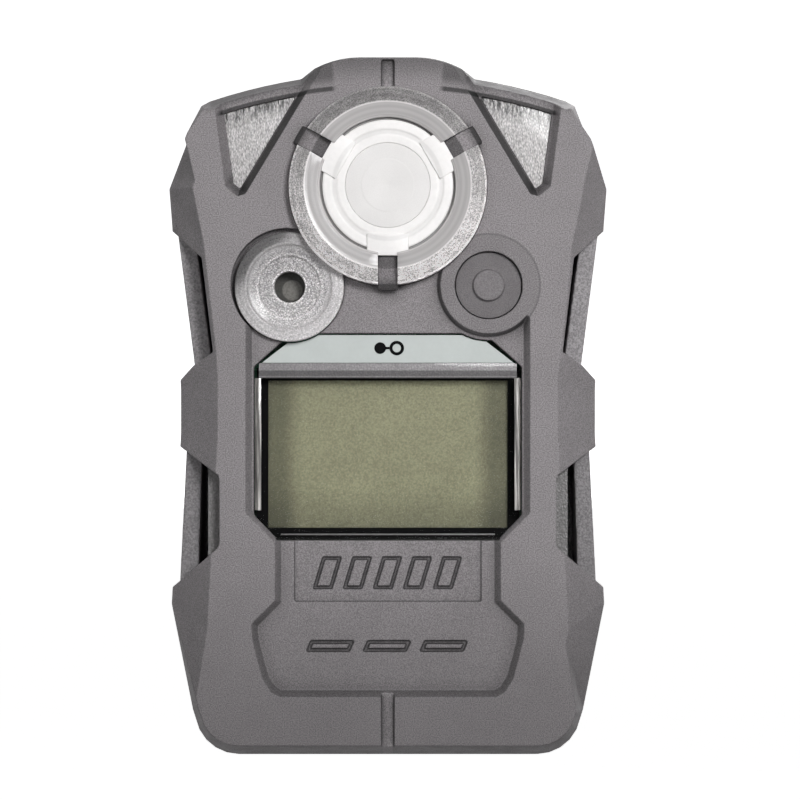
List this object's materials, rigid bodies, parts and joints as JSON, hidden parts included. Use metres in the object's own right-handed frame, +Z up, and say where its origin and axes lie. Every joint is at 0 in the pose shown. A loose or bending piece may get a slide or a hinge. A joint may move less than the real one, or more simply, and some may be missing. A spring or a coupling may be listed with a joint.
{
  "type": "portable gas detector",
  "caption": "Clip-on personal gas detector with a grey jacket, clear inner shell, gas inlet, sounder, button, display window and a sprung clip.",
  "frame": {"origin": "centre of the bounding box in X and Y, at the bottom edge it stands on", "axes": "+X to the right seen from the front, +Z up towards the gas inlet, and the front faces -Y with the clip at +Y"},
  "size_m": [0.0546, 0.048, 0.087],
  "materials": {
    "grey_jacket": "fine moulded grain, soft satin elastomer",
    "grey_rear_jacket": "fine moulded grain, soft satin elastomer",
    "clear_shell": "clear polycarbonate, polished panes and sparkle-textured bosses",
    "clear_ring": "clear polycarbonate, spark-textured bevel",
    "dark_shell": "coarse spark-textured rails, satin back",
    "white_translucent": "translucent white, faint haze",
    "membrane_white": "fine pressed fluoropolymer membrane",
    "black_rubber": "matt black foam and rubber",
    "bright_steel": "bright zinc-plated steel",
    "spring_steel": "nickel-plated spring steel with fine brushing",
    "blank_plate": "blank satin label stock",
    "pale_label": "pale grey-green print",
    "black_print": "matt black print",
    "lcd_olive": "reflective olive liquid crystal",
    "silicone_strip": "translucent elastomer strip",
    "cell_plastic": "off-white moulded plastic",
    "gold_contact": "gold-plated brass",
    "black_plastic": "black moulded plastic",
    "grey_mesh": "fine woven mesh",
    "grey_key": "fine moulded grain, soft satin elastomer",
    "red_plunger": "red moulded plastic",
    "led_lens": "pale water-clear lens on a white package",
    "motor_steel": "drawn metal can",
    "weight_metal": "sintered heavy metal",
    "green_board": "green solder mask",
    "cell_wrap": "shrink-wrapped metal can",
    "contact_nickel": "nickel-plated leaf"
  },
  "bodies": {
    "housing": {"front_overmould": "grey_jacket", "rear_overmould": "grey_rear_jacket", "front_shell": "clear_shell", "inlet_ring": "clear_ring", "rear_shell": "dark_shell", "inlet_retainer": "white_translucent", "inlet_filter": "membrane_white", "housing_seal": "black_rubber", "cell_gasket": "black_rubber", "housing_screws": "bright_steel", "board_screws": "bright_steel", "clip_screw": "bright_steel", "clip_pin": "bright_steel", "clip_base": "spring_steel", "clip_spring": "spring_steel", "motor_clip": "spring_steel", "rear_label": "blank_plate", "label_strip": "pale_label", "display_mark": "black_print", "lcd_frame": "black_print", "lcd_glass": "lcd_olive", "lcd_connector": "silicone_strip", "sensor_cell": "cell_plastic", "sensor_pins": "gold_contact", "sensor_socket": "black_plastic", "piezo_horn": "black_plastic", "button_switch": "black_plastic", "board_chips": "black_plastic", "battery_holder": "black_plastic", "horn_screen": "grey_mesh", "alarm_leds": "led_lens", "motor_can": "motor_steel", "main_board": "green_board", "battery_cell": "cell_wrap", "battery_contacts": "contact_nickel"},
    "button": {"test_button": "grey_key", "button_plunger": "red_plunger"},
    "jaw": {"clip_jaw": "spring_steel"},
    "rotor": {"motor_weight": "weight_metal"}
  },
  "joints": [
    {"name": "button_press", "type": "slide", "parent": "housing", "child": "button", "axis": [0, 1, 0], "range_m": [0, 0.0008], "stiffness_N_per_m": 1500, "springref_m": -0.0005},
    {"name": "clip_open", "type": "hinge", "parent": "housing", "child": "jaw", "pos_m": [0, 0.0122, 0.047], "axis": [1, 0, 0], "range_deg": [0, 22], "stiffness_Nm_per_rad": 0.5, "springref_deg": -22.92, "deforming": ["clip_spring"]},
    {"name": "motor_spin", "type": "hinge", "parent": "housing", "child": "rotor", "pos_m": [-0.016, -0.0072, 0.032], "axis": [1, 0, 0], "continuous": true}
  ]
}
